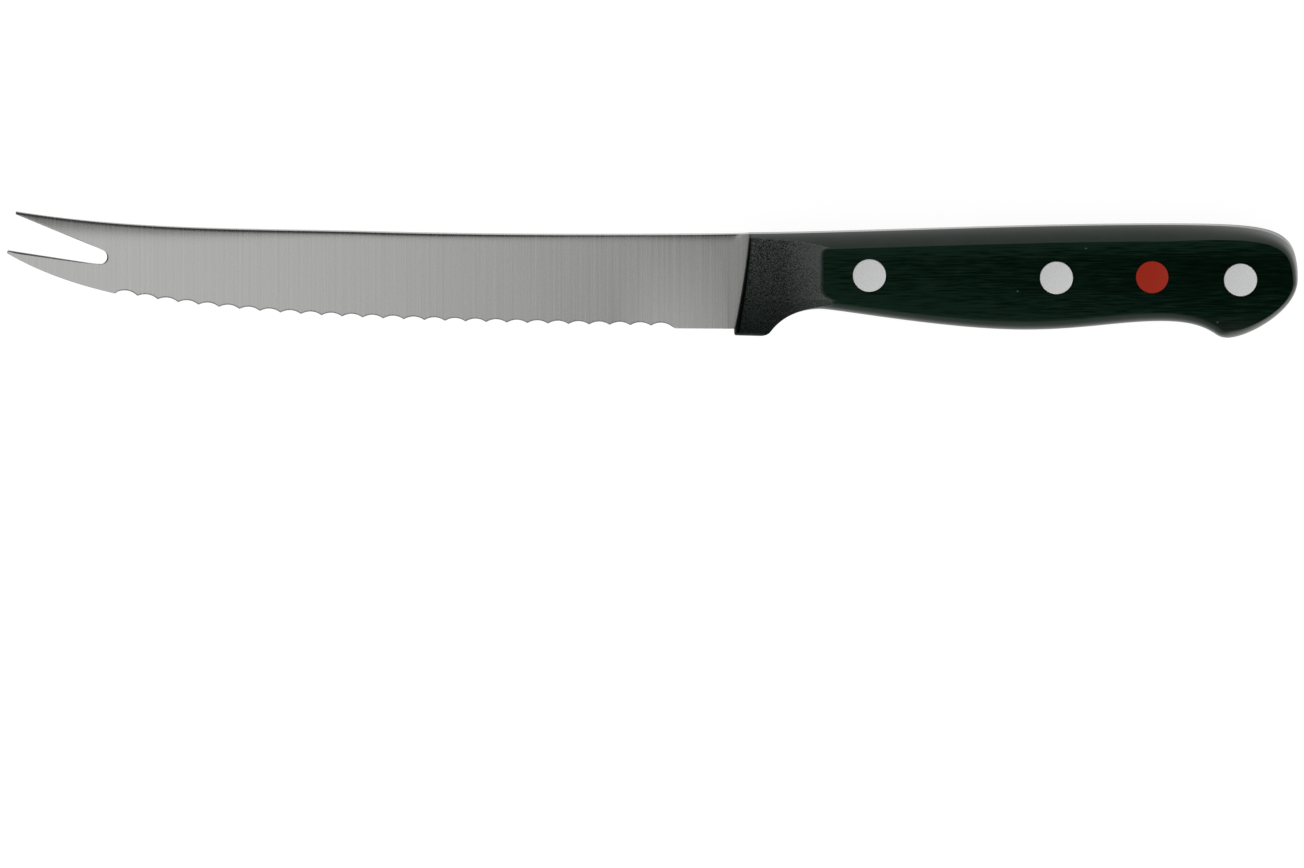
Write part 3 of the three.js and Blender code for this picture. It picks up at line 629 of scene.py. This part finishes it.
def skin(name, grid, marks=None):
    """A closed surface through rows of columns of points, with the columns joined in a ring.

    Points that fall on each other are merged, which closes the seams and the poles. Marks, if given,
    are one number a point, kept on the mesh for its material.
    """
    rows, columns = grid.shape[:2]
    here = np.arange(rows * columns).reshape(rows, columns)
    beside = np.roll(here, -1, axis=1)
    faces = np.stack([here[:-1], beside[:-1], beside[1:], here[1:]], axis=-1).reshape(-1, 4)
    mesh = bpy.data.meshes.new(name)
    mesh.from_pydata(place(grid.reshape(-1, 3)).tolist(), [], faces.tolist())
    if marks is not None:
        mesh.attributes.new(mark_name, "FLOAT", "POINT").data.foreach_set("value", marks.ravel())
    merged = bmesh.new()
    merged.from_mesh(mesh)
    bmesh.ops.remove_doubles(merged, verts=merged.verts, dist=merge_distance * millimetre)
    bmesh.ops.dissolve_degenerate(merged, edges=merged.edges, dist=merge_distance * millimetre)
    bmesh.ops.recalc_face_normals(merged, faces=merged.faces)
    merged.to_mesh(mesh)
    merged.free()
    return added(name, mesh)


def worked(piece, tool, operation):
    """A piece cut by a tool, or kept only inside it, with the tool thrown away."""
    cut = piece.modifiers.new("cut", "BOOLEAN")
    cut.solver, cut.operation, cut.object = "MANIFOLD", operation, tool
    finished = piece.evaluated_get(bpy.context.evaluated_depsgraph_get())
    piece.data = bpy.data.meshes.new_from_object(finished)
    piece.data.materials.clear()
    piece.modifiers.clear()
    bpy.data.objects.remove(tool)


turned_sides = 96


def turned(name, profile, centre):
    """A closed body of revolution along z: each radius and height of the profile, carried round."""
    profile = np.asarray(profile, float)
    angle = np.linspace(0, full_turn, turned_sides, endpoint=False)
    return skin(name, np.dstack([
        centre[0] + profile[:, :1] * np.cos(angle),
        centre[1] + profile[:, :1] * np.sin(angle),
        np.repeat(profile[:, 1:], turned_sides, axis=1),
    ]))


def drilled(piece, centre, radius, low, high):
    """A piece with a round hole along z through it, between two heights."""
    drill = turned("drill", [(0, low), (radius, low), (radius, high), (0, high)], centre)
    worked(piece, drill, "DIFFERENCE")


def crisp(piece, angle):
    """Smooth shading, with the edges sharper than the angle kept as edges."""
    piece.data.shade_smooth()
    piece.data.set_sharp_from_angle(angle=angle)


def lying(piece):
    """Where a piece's vertices lie, in millimetres from the datum."""
    points = np.empty(len(piece.data.vertices) * 3)
    piece.data.vertices.foreach_get("co", points)
    return (points.reshape(-1, 3) - datum) / millimetre


shank_hole = 2.15
overrun = 3.0
rear_rivet_setback, middle_rivet_share = 10.9, 0.504
front_rivet, rear_rivet = (24.0, 1.35), (handle_length - rear_rivet_setback, 0.5)
middle_rivet = (toward(front_rivet[0], rear_rivet[0], middle_rivet_share), 0.9)
rivets = {"front": front_rivet, "middle": middle_rivet, "rear": rear_rivet}
steel_crease = math.radians(18)

steel = skin("steel_blade_and_tang", steel_grid, steel_wall_shade)
for centre in rivets.values():
    drilled(steel, centre, shank_hole, -overrun, overrun)
crisp(steel, steel_crease)
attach(steel, "root")
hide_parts("blade_with_tang")


def noise_effect(name, noises):
    """A group of shader nodes with one output a noise, each with its scale, detail and roughness."""
    group = bpy.data.node_groups.new(name, "ShaderNodeTree")
    group.interface.new_socket("Vector", in_out="INPUT", socket_type="NodeSocketVector")
    for output in noises:
        group.interface.new_socket(output, in_out="OUTPUT", socket_type="NodeSocketFloat")
    inlet, outlet = group.nodes.new("NodeGroupInput"), group.nodes.new("NodeGroupOutput")
    for output, (scale, detail, roughness) in noises.items():
        noise = wired(group, "TexNoise", {
            "Vector": inlet.outputs["Vector"], "Scale": scale, "Detail": detail, "Roughness": roughness
        })
        group.links.new(noise.outputs["Fac"], outlet.inputs[output])
    return group


def on_object(tree, *sizes):
    """The object's own coordinates, divided by a pattern's sizes along x, y and z in millimetres."""
    source = wired(tree, "TexCoord").outputs["Object"]
    scale = [1 / (size * millimetre) for size in sizes]
    return wired(tree, "Mapping", {"Vector": source, "Scale": scale}).outputs["Vector"]


def placed(tree, group, *sizes):
    """The outputs of an effect, placed in a material with sizes of its own."""
    return wired(tree, "Group", {"Vector": on_object(tree, *sizes)}, node_tree=group).outputs


def kept_mark(tree, name):
    """The marks of a name that are kept on the mesh."""
    return wired(tree, "Attribute", attribute_name=name).outputs["Fac"]


def ramped(factor, stops):
    """A colour that runs between stops: each is a place from 0 to 1 and a linear colour."""
    node = wired(factor.id_data, "ValToRGB", {"Fac": factor})
    elements = node.color_ramp.elements
    for _ in stops[2:]:
        elements.new(1.0)
    for element, (position, colour) in zip(elements, stops):
        element.position, element.color = position, (*colour, 1)
    return node.outputs["Color"]


def mixed(share, first, second, kind="RGBA"):
    """The first of two colours or values where the share is 0, and the second where it is 1."""
    return wired(
        share.id_data, "Mix", {"Factor": share, "A": first, "B": second}, data_type=kind
    ).outputs["Result"]


def finished(shader, colour, roughness, relief, depth, strength):
    """Gives a shader its colour and roughness, and a relief of a depth in millimetres."""
    normal = wired(shader.id_data, "Bump", {
        "Height": relief, "Distance": depth * millimetre, "Strength": strength
    }).outputs["Normal"]
    for socket, value in {"Base Color": colour, "Roughness": roughness, "Normal": normal}.items():
        shader.id_data.links.new(value, shader.inputs[socket])


# Brushed lines are fine noise, and the same noise drawn out wider, stretched along the brushing.
brushed_lines = noise_effect("brushed_lines", {"Lines": (1.0, 3.0, 0.6), "Streaks": (0.45, 2.0, 0.5)})
steel_line_width, steel_line_length, steel_line_depth = 0.22, 60.0, 0.006
steel_darkest, steel_lightest, wall_shade_colour = (0.49, 0.49, 0.48), (0.67, 0.67, 0.66), (0.04, 0.04, 0.04, 1)
steel_light, steel_roughness = (0, 1, 0.6, 1.4), (0.24, 0.29, 0.7, 1.3)
steel_material, steel_tree, steel_shader = painted("brushed_steel", {"Metallic": 1.0})
steel_lines = placed(steel_tree, brushed_lines, steel_line_width, steel_line_length, steel_line_length)
steel_tone = joined("ADD", steel_lines["Lines"], steel_lines["Streaks"])
steel_colour = ramped(spread(steel_tone, *steel_light), [(0, steel_darkest), (1, steel_lightest)])
# The cut walls and rims are mixed towards a dark grey by their marks: painted shade.
finished(
    steel_shader, mixed(kept_mark(steel_tree, mark_name), steel_colour, wall_shade_colour),
    spread(steel_tone, *steel_roughness), steel_lines["Lines"], steel_line_depth, 0.5,
)
steel.data.materials.append(steel_material)

# The two scales, one on each side of the tang. They are injection moulded in dark plastic, each with
# its bolster in one piece: rounded along the outline, hollowed in a sweep towards the blade, with
# three stepped holes for the rivets. The near one also has a shallow round pocket.
handle_half = 7.0
band_rows, flat_rows = 20, 4
butt_fan_columns, top_fan_columns, front_fan_columns, guard_fan_columns = 90, 16, 90, 40
run_columns = 190
corner_fade = 4.0
crown_lean, crown_power = 0.4, 2
butt_crown_lean, butt_crown_power, narrow_power = 0.2, 6, 3
flat_setback, flat_middle_rise, flat_half_height = 15.5, 1.6, 5.0
flat_high_corner, flat_low_corner = 1.3, 2.4
front_half, front_step, front_round_top, front_round_bottom, guard_round = 3.15, 0.5, 0.5, 1.1, 1.0
sweep_bend_along, sweep_bend_up = 0.55, 0.26
edge_fade, sweep_fade, ridge_margin, ridge_drop = (0.8, 1.15), (0.02, 0.2), 0.01, 0.2
mould_stations, mould_under_steps, mould_round_steps, mould_sweep_steps = 140, 16, 14, 60
head_radius, head_thickness, head_clearance = 3.15, 1.6, 0.08
head_seat = handle_half - head_thickness
dot_share = 0.52
dot_centre = (toward(middle_rivet[0], rear_rivet[0], dot_share), 1.04)
dot_radius, dot_thickness, dot_clearance = 3.1, 1.2, 0.05


def with_inward(run):
    """An anticlockwise run with, beside each point, the unit step square to it, to its left."""
    along = unit(np.gradient(run[:, :2], axis=0))
    return np.column_stack([run, -along[:, 1], along[:, 0]])


run_x = np.linspace(front_reach, handle_length - butt_reach, run_columns)
lower_side = with_inward(chained(guard_corner_run, lower_run))
upper_side = with_inward(upper_run)
front_side = evenly(with_inward(front_run * [1, 1, 0, 1]), front_fan_columns)
near_front_top = np.clip(1 - (front_top_rise - front_side[:, 1]) / corner_fade, 0, 1)
scale_parts = [
    # the outline with its band, softness and inward step, its middle line, and how near the front's top
    (over(lower_side[len(guard_corner_run):], run_x), middle_of(run_x), 0),
    (round_butt(lower_side, upper_side, butt_fan_columns), middle_of(run_x[-1:]), 0),
    (over(upper_side, run_x[::-1]), middle_of(run_x[::-1]), 0),
    (evenly(part_of(upper_side, front_reach, front_top[0]), top_fan_columns)[1:], middle_of(run_x[:1]), 0),
    (front_side, middle_of(run_x[:1]), near_front_top),
    (evenly(part_of(lower_side, front_bottom[0], front_reach), guard_fan_columns)[1:-1],
     middle_of(run_x[:1]), 0),
]
scale_outline, scale_middle = over_columns(scale_parts, 0, 6), over_columns(scale_parts, 1, 2)
scale_inward, fading = scale_outline[:, 4:], over_columns(scale_parts, 2)

# The band rises from the tang to the flat side. Where the softness is 0 it leans in with the rise and
# arches over late, later still at the narrow butt, and meets the flat side in a crisp line. Where the
# softness is 1 it is a quarter of an ellipse that runs into the flat side. At the top of the front the
# columns are lowered along it as they lean in, and that fades out downwards.
rise = np.sin(np.linspace(0, full_turn / 4, band_rows))[:, None]
band, soft = scale_outline[:, 2], scale_outline[:, 3]
narrow = np.clip((top_band - band) / (top_band - butt_band), 0, 1) ** narrow_power
arched = rise ** toward(crown_power, butt_crown_power, narrow)
lean = toward(crown_lean, butt_crown_lean, narrow)
crowned = lean * rise + (1 - lean) * arched
rounded = 1 - np.sqrt(1 - rise**2)
band_inset = band * toward(crowned, rounded, soft)
band_points = scale_outline[:, :2] + scale_inward * band_inset[..., None]
lowered = band_points[..., 1] - top_band * crowned * fading
band_points = np.dstack([
    band_points[..., 0] + (front_x(lowered) - front_x(band_points[..., 1])) * (fading > 0), lowered
])
band_height = np.broadcast_to(toward(steel_half, handle_half, rise), band_inset.shape)
flat_points = toward(band_points[-1], scale_middle, np.linspace(0, 1, flat_rows)[1:, None, None])
blank_grid = np.concatenate([
    np.column_stack([scale_middle, np.full(len(scale_middle), steel_half)])[None],
    np.dstack([band_points, band_height]),
    np.dstack([flat_points, np.full(flat_points.shape[:2], handle_half)]),
])


def front_round(y):
    """How far back the rounded front edge reaches at a height: further down, further back."""
    down = (front_top_rise - y) / (front_top_rise + guard_drop)
    return toward(front_round_top, front_round_bottom, down)


def sweep(y):
    """The hollow sweep at a height: its start, bend and end along x, and the same three along z."""
    guard_share = np.sqrt(1 - np.clip(1 - (y + guard_drop) / guard_round, 0, 1) ** 2)
    base = steel_half + front_step
    corner = np.where(y > flat_middle_rise, flat_high_corner, flat_low_corner)
    in_corner = np.clip(np.abs(y - flat_middle_rise) - flat_half_height + corner, 0, corner)
    start_x, start_z = front_x(y) + front_round(y), toward(base, front_half, guard_share)
    end_x, end_z = flat_setback + corner - np.sqrt(corner**2 - in_corner**2), handle_half
    bend_x, bend_z = toward(start_x, end_x, sweep_bend_along), toward(start_z, end_z, sweep_bend_up)
    return (start_x, bend_x, end_x), (start_z, bend_z, end_z + 0 * y)


def curved(along, controls):
    """A quadratic curve through three controls, at shares along it."""
    return (1 - along) ** 2 * controls[0] + 2 * along * (1 - along) * controls[1] + along**2 * controls[2]


def mould():
    """The block that the front of a scale is kept inside: a profile along x at each place across.

    The profile is the rounded front edge, a quarter ellipse, then the hollow sweep, a quadratic curve
    up to the flat side. The flat side's corners are round, and the guard's end is rounded under.
    """
    quarter = np.linspace(0, full_turn / 4, mould_under_steps)
    under = guard_round * (1 - np.cos(quarter)) - guard_drop
    across = np.linspace(guard_round - guard_drop, handle_top_rise + overrun, mould_stations)
    y = np.concatenate([[-guard_drop - overrun], under[:-1], across])[:, None]
    leant = np.clip(y, -guard_drop, front_top_rise)
    front, base = front_x(leant), steel_half + front_step
    xs, zs = sweep(leant)
    angle = np.linspace(0, full_turn / 4, mould_round_steps)
    along = np.linspace(0, 1, mould_sweep_steps)[1:]
    beyond = overrun / (zs[2] - zs[1])
    behind = np.full_like(y, handle_length + overrun)
    none = np.zeros_like(y)
    x = np.hstack([
        front - overrun, front - overrun, front + front_round(leant) * (1 - np.cos(angle)),
        curved(along, xs), xs[2] + beyond * (xs[2] - xs[1]), behind, behind, front - overrun,
    ])
    z = np.hstack([
        none, none + base, base + (zs[0] - base) * np.sin(angle),
        curved(along, zs), zs[2] + overrun, zs[2] + overrun, none, none,
    ])
    block = np.dstack([x, np.broadcast_to(y, x.shape), z])
    middle = np.broadcast_to(block.mean(axis=1, keepdims=True), block.shape)
    return np.concatenate([middle[:1], block, middle[-1:]])


def marked(scale):
    """Marks kept on a scale's mesh for its material: its rounded front edge, and its hollow sweep.

    A vertex lies on the sweep where it is no lower than the sweep's own height at its place.
    """
    points = lying(scale)
    y = np.clip(points[:, 1], -guard_drop, front_top_rise)
    edge = (points[:, 0] - front_x(y)) / front_round(y)
    xs, zs = sweep(y)
    share = np.clip((points[:, 0] - xs[0]) / (xs[2] - xs[0]), 0, 1)
    lag = 2 * sweep_bend_along - 1
    along = (sweep_bend_along - np.sqrt(sweep_bend_along**2 - lag * share)) / lag
    below = curved(along, zs) - np.abs(points[:, 2])
    marks = {"front_edge": 1 - gentle(edge, *edge_fade), "sweep": 1 - gentle(below, *sweep_fade)}
    for name, values in marks.items():
        scale.data.attributes.new(name, "FLOAT", "POINT").data.foreach_set("value", values)


def softened(scale):
    """Shades smoothly across the ridge between the sweep and the band, which the mould leaves soft."""
    sharp = scale.data.attributes["sharp_edge"].data
    values, ends = np.empty(len(sharp), bool), np.empty(len(sharp) * 2, int)
    sharp.foreach_get("value", values)
    scale.data.edges.foreach_get("vertices", ends)
    lengths, _, heights = np.moveaxis(lying(scale)[ends.reshape(-1, 2)], -1, 0)
    on_ridge = np.abs(heights) < handle_half - ridge_margin
    on_ridge &= np.abs(heights) > front_half - ridge_drop
    on_ridge &= lengths < flat_setback + flat_low_corner
    sharp.foreach_set("value", values & ~on_ridge.all(axis=1))


plastic_crease = math.radians(20)
scales = {}
for side, name in [(1, "near_scale_moulding"), (-1, "far_scale_moulding")]:
    facing, outer_end = [1, 1, side], side * (handle_half + overrun)
    scale = skin(name, blank_grid * facing)
    worked(scale, skin("mould", mould() * facing), "INTERSECT")
    for centre in rivets.values():
        drilled(scale, centre, shank_hole, 0, outer_end)
        drilled(scale, centre, head_radius + head_clearance, side * head_seat, outer_end)
    scales[name] = scale
dot_hole, dot_floor = dot_radius + dot_clearance, handle_half - dot_thickness
drilled(scales["near_scale_moulding"], dot_centre, dot_hole, dot_floor, handle_half + overrun)
for name, scale in scales.items():
    crisp(scale, plastic_crease)
    softened(scale)
    marked(scale)
    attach(scale, "root")
    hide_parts(name.removesuffix("_moulding"))

# The flat side has fine lines along it and a few worn nicks, and painted light makes its colour lighter at
# the front and along its top and bottom margins. The sweep is spark-eroded: its grains are fainter towards
# the back, and painted light makes them lighter towards the back and the spine. The bands and the rounded
# front edge are smooth, and the edge is coloured deep black as painted shade.
speckle = noise_effect("speckle", {"Grains": (1.0, 2.0, 0.7), "Patches": (0.09, 2.0, 0.5)})
plastic_line_width, plastic_line_length, plastic_grain, plastic_depth = 0.26, 5.0, 0.24, 0.1
nick_length, nick_height, nick_share, nick_picked = 14.0, 8.0, 0.018, 0.6
flat_fade, streak_share, line_share = 0.4, 0.12, 0.25
# Each painted light, and each range of the lines, grains and roughness, is spread from its first value to its
# second, between its third and its fourth.
painted_front_light, painted_low_light, painted_high_light = (0.42, -0.15, flat_setback, 90.0), (0.55, 0, -9.0, 0), (0, 0.6, 4.4, 7.4)
line_light, painted_belly_light = (0, 0.85, 0.42, 0.74), (0.4, 1, -9.6, -6.0)
grain_middle, sweep_reach = 0.425, (flat_setback / 2, flat_setback)
grain_light, grain_fading = (-grain_middle, grain_middle, 0.38, 0.64), (1, 0.4, *sweep_reach)
painted_back_light, painted_spine_light = (0.6, 1.7, *sweep_reach), (0.25, 2.0, -guard_drop, front_top_rise)
flat_roughness, side_roughness = (0.26, 0.34, 0.35, 0.8), (0.28, 0.5)
# The front edge's near black is painted shade; the sweep's black and grey are its grains' own colours.
front_edge_painted_black, sweep_black, sweep_grey = (0.0002, 0.0002, 0.0002, 1), (0, 0, 0, 1), (0.12, 0.128, 0.122, 1)
nick_grey = (0.12, 0.14, 0.12, 1)
plastic_material, plastic_tree, plastic_shader = painted(
    "moulded_plastic", {"Metallic": 0.0, "Specular IOR Level": 0.1, "Specular Tint": (0.4, 1.0, 0.7, 1)}
)
object_place = wired(plastic_tree, "TexCoord").outputs["Object"]
plastic_place = wired(plastic_tree, "SeparateXYZ", {"Vector": object_place}).outputs


def axis_spread(axis, low, high, start, end):
    """A value spread between low and high from one place along an axis to another, in millimetres."""
    origin = datum["XYZ".index(axis)]
    places = [float(origin + at * millimetre) for at in (start, end)]
    return spread(plastic_place[axis], low, high, *places)


from_middle = joined("ABSOLUTE", joined("SUBTRACT", plastic_place["Z"], float(datum[2])), 0)
on_flat = spread(from_middle, 0, 1, (handle_half - flat_fade) * millimetre, handle_half * millimetre)
on_sweep = joined("MULTIPLY", kept_mark(plastic_tree, "sweep"), joined("SUBTRACT", 1.0, on_flat))
on_edge = kept_mark(plastic_tree, "front_edge")
on_grain = joined("MULTIPLY", on_sweep, joined("SUBTRACT", 1.0, on_edge))
plastic_lines = placed(
    plastic_tree, brushed_lines, plastic_line_length, plastic_line_width, plastic_line_width
)
plastic_speckle = placed(plastic_tree, speckle, *[plastic_grain] * 3)

flat_tone = joined("ADD", plastic_lines["Lines"], joined("MULTIPLY", plastic_lines["Streaks"], streak_share))
# Painted light: the flat's colour is lighter at the front and along its top and bottom margins, on top of its
# fine lines.
flat_lines_and_painted_light = joined(
    "ADD", axis_spread("X", *painted_front_light), axis_spread("Y", *painted_low_light), axis_spread("Y", *painted_high_light),
    spread(flat_tone, *line_light),
)
flat_colour = ramped(flat_lines_and_painted_light, [
    (0, (0.0, 0.0006, 0.0001)), (0.5, (0.0009, 0.0068, 0.0032)), (1, (0.0078, 0.0215, 0.014))
])
# Painted light: towards the belly the flat's own colour gives way to the lighter band colour.
flat_mask = joined("MULTIPLY", on_flat, axis_spread("Y", *painted_belly_light))

grain_contrast = axis_spread("X", *grain_fading)
off_grain_middle = joined("MULTIPLY", grain_contrast, spread(plastic_speckle["Grains"], *grain_light))
# Painted light: the sweep's grains are made lighter towards the back and towards the spine.
sweep_grains_and_painted_light = joined(
    "MULTIPLY", joined("ADD", off_grain_middle, grain_middle),
    axis_spread("X", *painted_back_light), axis_spread("Y", *painted_spine_light),
)
sweep_colour = mixed(sweep_grains_and_painted_light, sweep_black, sweep_grey)

nick_cells = wired(plastic_tree, "TexVoronoi", {
    "Vector": on_object(plastic_tree, nick_length, nick_height, nick_height), "Scale": 1.0
}, voronoi_dimensions="2D").outputs
nick_random = wired(plastic_tree, "SeparateColor", {"Color": nick_cells["Color"]}).outputs["Red"]
nicks = joined(
    "MULTIPLY", joined("GREATER_THAN", nick_random, nick_picked),
    spread(nick_cells["Distance"], 1, 0, nick_share / 2, nick_share), on_flat,
)

plastic_colour = ramped(plastic_speckle["Patches"], [
    (0.35, (0.0205, 0.0225, 0.0202)), (0.65, (0.0235, 0.0255, 0.0231))
])
for mask, colour in [
    (on_sweep, sweep_colour), (on_edge, front_edge_painted_black), (flat_mask, flat_colour), (nicks, nick_grey)
]:
    plastic_colour = mixed(mask, plastic_colour, colour)
finished(
    plastic_shader, plastic_colour,
    mixed(on_flat, spread(on_grain, *side_roughness), spread(flat_tone, *flat_roughness), "FLOAT"),
    joined(
        "ADD", joined("MULTIPLY", plastic_lines["Lines"], on_flat, line_share),
        joined("MULTIPLY", plastic_speckle["Grains"], on_grain, grain_contrast),
    ), plastic_depth, 0.8,
)
for scale in scales.values():
    scale.data.materials.append(plastic_material)

# The rivets hold the scales to the tang. Each is two pieces turned from a light metal: a bored sleeve
# from the near side and a plain pin pressed into it from the far side. Their flat heads are flush.
sleeve_radius, bore_radius, press_clearance, end_clearance = 2.0, 1.25, 0.05, 0.4
head_edge, head_edge_steps = 0.12, 8
bore_end = head_seat - end_clearance
pin_radius = bore_radius - press_clearance
rivet_crease = math.radians(30)
rivet_grain, grain_relief = 0.25, 0.01


def head(radius, edge, seat):
    """The outline of a round head from its middle over its rounded edge down to its seat."""
    turn = arc((radius - edge, handle_half - edge), edge, full_turn / 4, 0, head_edge_steps)
    return [(0, handle_half), *turn, (radius, seat)]


def speckled(name, settings, grain, colours, roughness, strength):
    """A material whose colour and relief follow the grains, and its roughness the wider patches."""
    material, tree, shader = painted(name, settings)
    noise = placed(tree, speckle, *[grain] * 3)
    finished(
        shader, ramped(noise["Grains"], colours), spread(noise["Patches"], *roughness),
        noise["Grains"], grain_relief, strength,
    )
    return material


head_profile = head(head_radius, head_edge, head_seat)
sleeve_profile = np.array(head_profile + [
    (sleeve_radius, head_seat), (sleeve_radius, -bore_end), (bore_radius, -bore_end),
    (bore_radius, bore_end), (0, bore_end),
])
pin_profile = np.array(head_profile + [
    (pin_radius, head_seat), (pin_radius, end_clearance - bore_end), (0, end_clearance - bore_end),
]) * [1, -1]
rivet_material = speckled(
    "turned_rivet_metal", {"Metallic": 0.5}, rivet_grain,
    [(0.35, (0.86, 0.87, 0.87)), (0.65, (1.0, 1.0, 1.0))], (0.65, 0.78), 0.5,
)
for place_name, centre in rivets.items():
    for half, profile in [("sleeve", sleeve_profile), ("pin", pin_profile)]:
        rivet_half = turned(f"{place_name}_rivet_{half}_turned", profile, centre)
        rivet_half.data.materials.append(rivet_material)
        crisp(rivet_half, rivet_crease)
        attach(rivet_half, "root")
        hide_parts(f"{place_name}_rivet_{half}")

# The colour dot is a small round plug of red plastic, moulded on its own and pressed flush into the
# near scale's shallow pocket, between the middle and the rear rivet.
dot_edge, dot_grain = 0.1, 0.15
dot = turned("dot_inlay", [*head(dot_radius, dot_edge, dot_floor), (0, dot_floor)], dot_centre)
crisp(dot, rivet_crease)
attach(dot, "root")
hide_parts("colour_dot")
dot.data.materials.append(speckled(
    "dot_plastic", {"Specular IOR Level": 0.3}, dot_grain,
    [(0.25, (0.42, 0.018, 0.003)), (0.8, (0.55, 0.026, 0.005))], (0.32, 0.46), 0.4,
))
